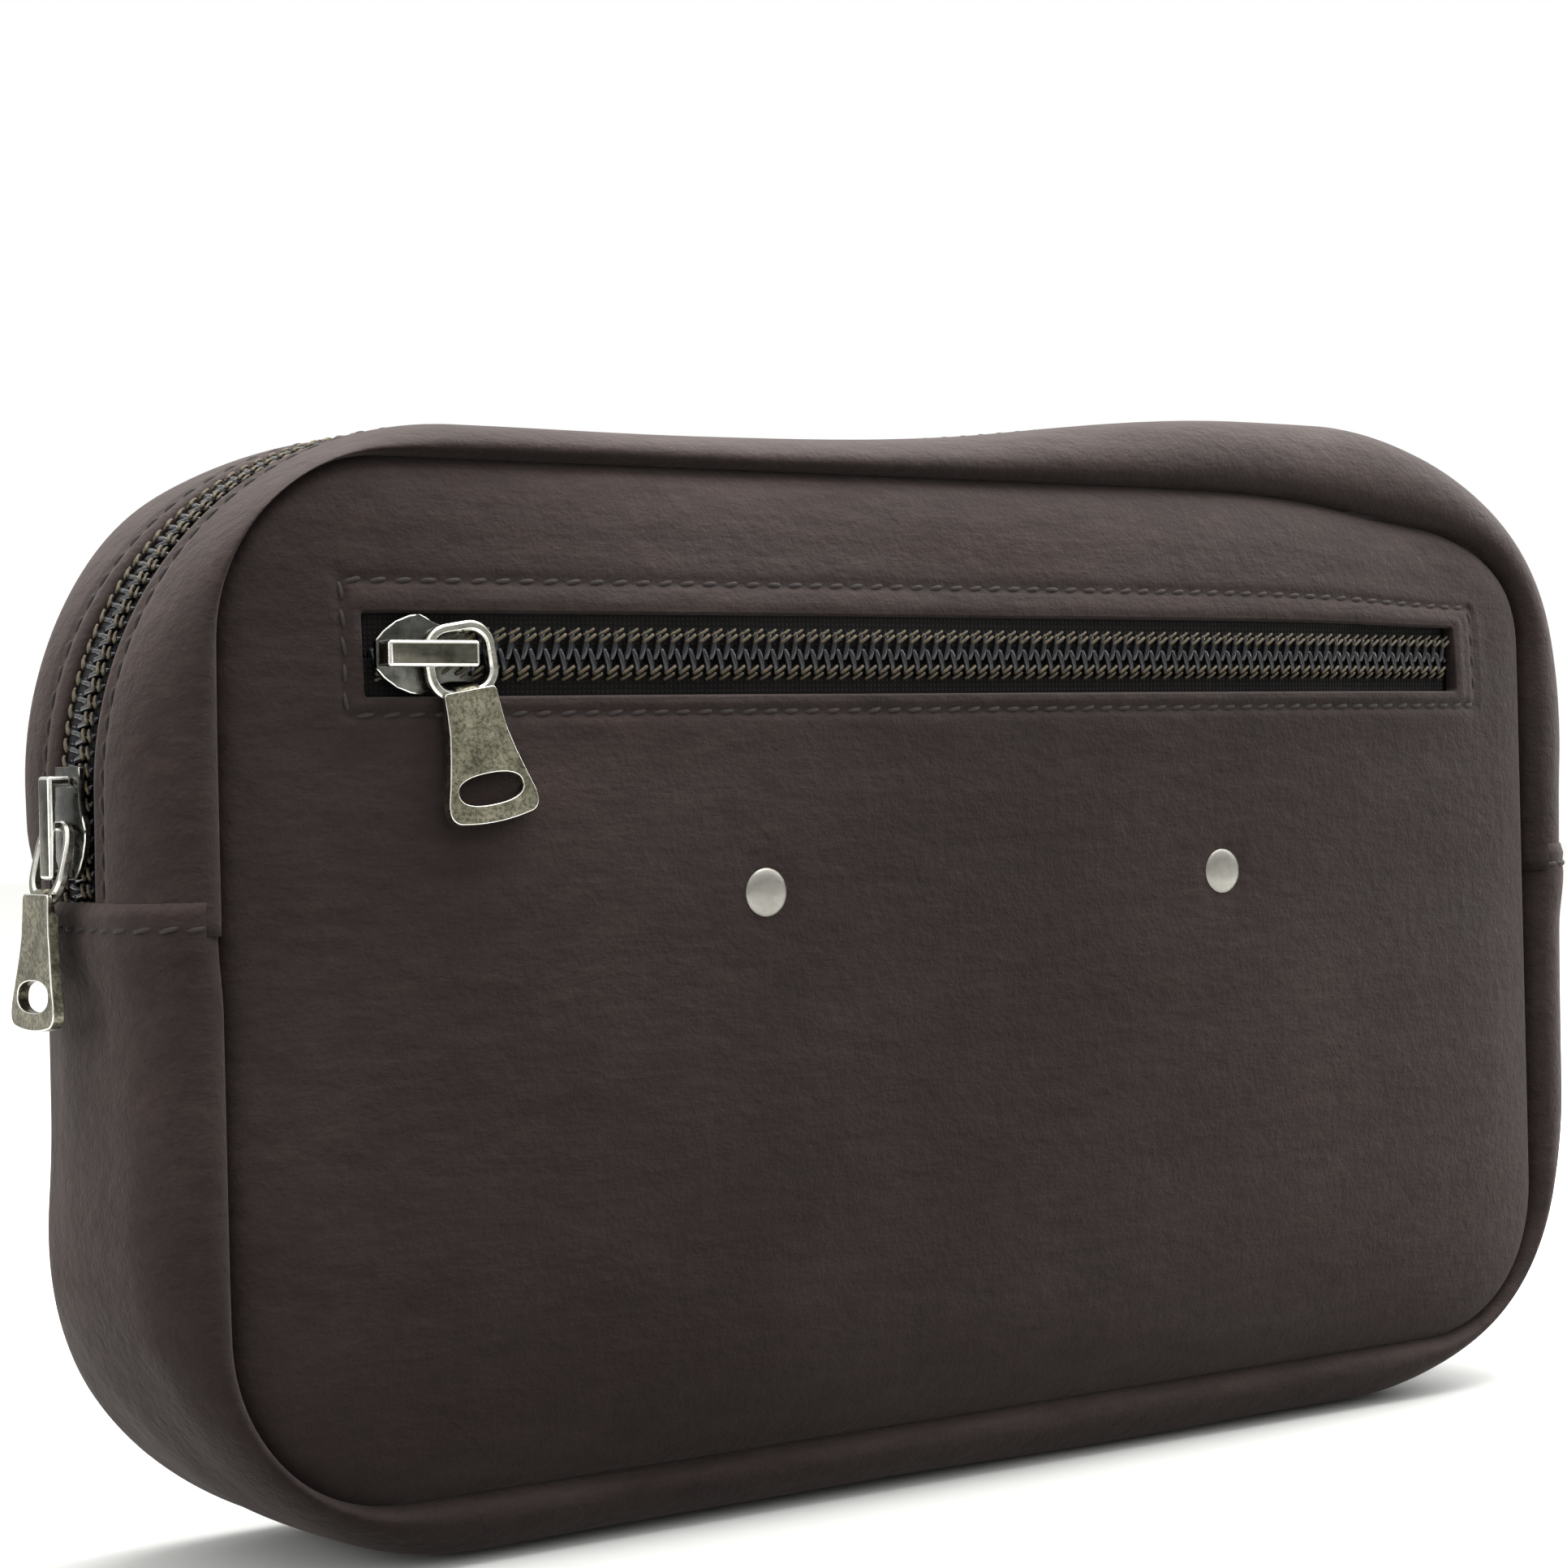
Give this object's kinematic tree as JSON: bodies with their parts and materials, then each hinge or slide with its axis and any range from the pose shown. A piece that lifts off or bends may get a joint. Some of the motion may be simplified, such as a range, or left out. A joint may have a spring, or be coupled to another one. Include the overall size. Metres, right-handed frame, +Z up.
{
  "type": "waist pack",
  "caption": "Rectangular leather waist pack with rounded corners, curved top zip, front zip pocket, hanging pull tabs and a webbing belt with a side release buckle.",
  "frame": {"origin": "middle of the flat base of the bag, on the surface it stands on", "axes": "+X along the bag's length, -Y out of the front panel, +Z up"},
  "size_m": [0.2879, 0.2084, 0.15],
  "materials": {
    "leather": "matte dark brown nubuck",
    "binding_tape": "woven binding",
    "stiffener_board": "matte board",
    "lining_fabric": "cotton twill",
    "zip_tape": "woven tape",
    "zip_coil": "nylon coil",
    "slider_gunmetal": "dark gunmetal plating",
    "polished_nickel": "polished, bevelled",
    "antique_nickel": "antique nickel, brushed",
    "satin_nickel": "satin nickel",
    "webbing": "woven webbing",
    "buckle_plastic": "matt moulded"
  },
  "bodies": {
    "bag": {"front_panel": "leather", "back_panel": "leather", "gusset_lower": "leather", "gusset_strip_front": "leather", "gusset_strip_back": "leather", "belt_tab_left": "leather", "belt_tab_right": "leather", "front_seam_binding": "binding_tape", "back_seam_binding": "binding_tape", "back_stiffener": "stiffener_board", "main_lining": "lining_fabric", "pocket_pouch": "lining_fabric", "main_zip_tape_front": "zip_tape", "main_zip_tape_back": "zip_tape", "pocket_zip_tape_lower": "zip_tape", "pocket_zip_tape_upper": "zip_tape", "main_zip_coil_front": "zip_coil", "main_zip_coil_back": "zip_coil", "pocket_zip_coil_lower": "zip_coil", "pocket_zip_coil_upper": "zip_coil", "rivet_caps": "satin_nickel", "rivet_backs": "satin_nickel", "belt_strap_left": "webbing", "belt_strap_right": "webbing", "buckle_socket": "buckle_plastic", "buckle_plug": "buckle_plastic"},
    "main_slider": {"main_slider_body": "slider_gunmetal", "main_slider_bridge": "polished_nickel"},
    "main_ring": {"main_pull_ring": "polished_nickel"},
    "main_tab": {"main_pull_tab": "antique_nickel"},
    "pocket_slider": {"pocket_slider_body": "slider_gunmetal", "pocket_slider_bridge": "polished_nickel"},
    "pocket_ring": {"pocket_pull_ring": "polished_nickel"},
    "pocket_tab": {"pocket_pull_tab": "antique_nickel"},
    "latch_upper": {"buckle_latch_upper": "buckle_plastic"},
    "latch_lower": {"buckle_latch_lower": "buckle_plastic"},
    "keeper": {"strap_keeper": "buckle_plastic"}
  },
  "joints": [
    {"name": "main_zip_travel", "type": "hinge", "parent": "bag", "child": "main_slider", "pos_m": [-0.08, 0, 0.102], "axis": [0, 1, 0], "range_deg": [0, 90]},
    {"name": "main_ring_swing", "type": "hinge", "parent": "main_slider", "child": "main_ring", "pos_m": [-0.1298, 0, 0.0978], "axis": [0, 1, 0], "range_deg": [0, 85]},
    {"name": "main_tab_swing", "type": "hinge", "parent": "main_ring", "child": "main_tab", "pos_m": [-0.13187, 0, 0.08884], "axis": [0, 1, 0], "range_deg": [0, 70]},
    {"name": "pocket_zip_travel", "type": "slide", "parent": "bag", "child": "pocket_slider", "axis": [1, 0, 0], "range_m": [0, 0.177]},
    {"name": "pocket_ring_swing", "type": "hinge", "parent": "pocket_slider", "child": "pocket_ring", "pos_m": [-0.0914, -0.0281, 0.11715], "axis": [0.1564, 0, -0.9877], "range_deg": [0, 75]},
    {"name": "pocket_tab_swing", "type": "hinge", "parent": "pocket_ring", "child": "pocket_tab", "pos_m": [-0.08618, -0.0281, 0.11362], "axis": [-0.9877, 0, -0.1564], "range_deg": [0, 75]},
    {"name": "latch_upper_press", "type": "hinge", "parent": "bag", "child": "latch_upper", "pos_m": [0.0659, 0.172, 0.0287], "axis": [0, 1, 0], "range_deg": [0, 6], "stiffness_Nm_per_rad": 0.3},
    {"name": "latch_lower_press", "type": "hinge", "parent": "bag", "child": "latch_lower", "pos_m": [0.0659, 0.172, 0.0097], "axis": [0, -1, 0], "range_deg": [0, 6], "stiffness_Nm_per_rad": 0.3},
    {"name": "keeper_slide", "type": "slide", "parent": "bag", "child": "keeper", "axis": [1, 0, 0], "range_m": [0, 0.05]}
  ]
}
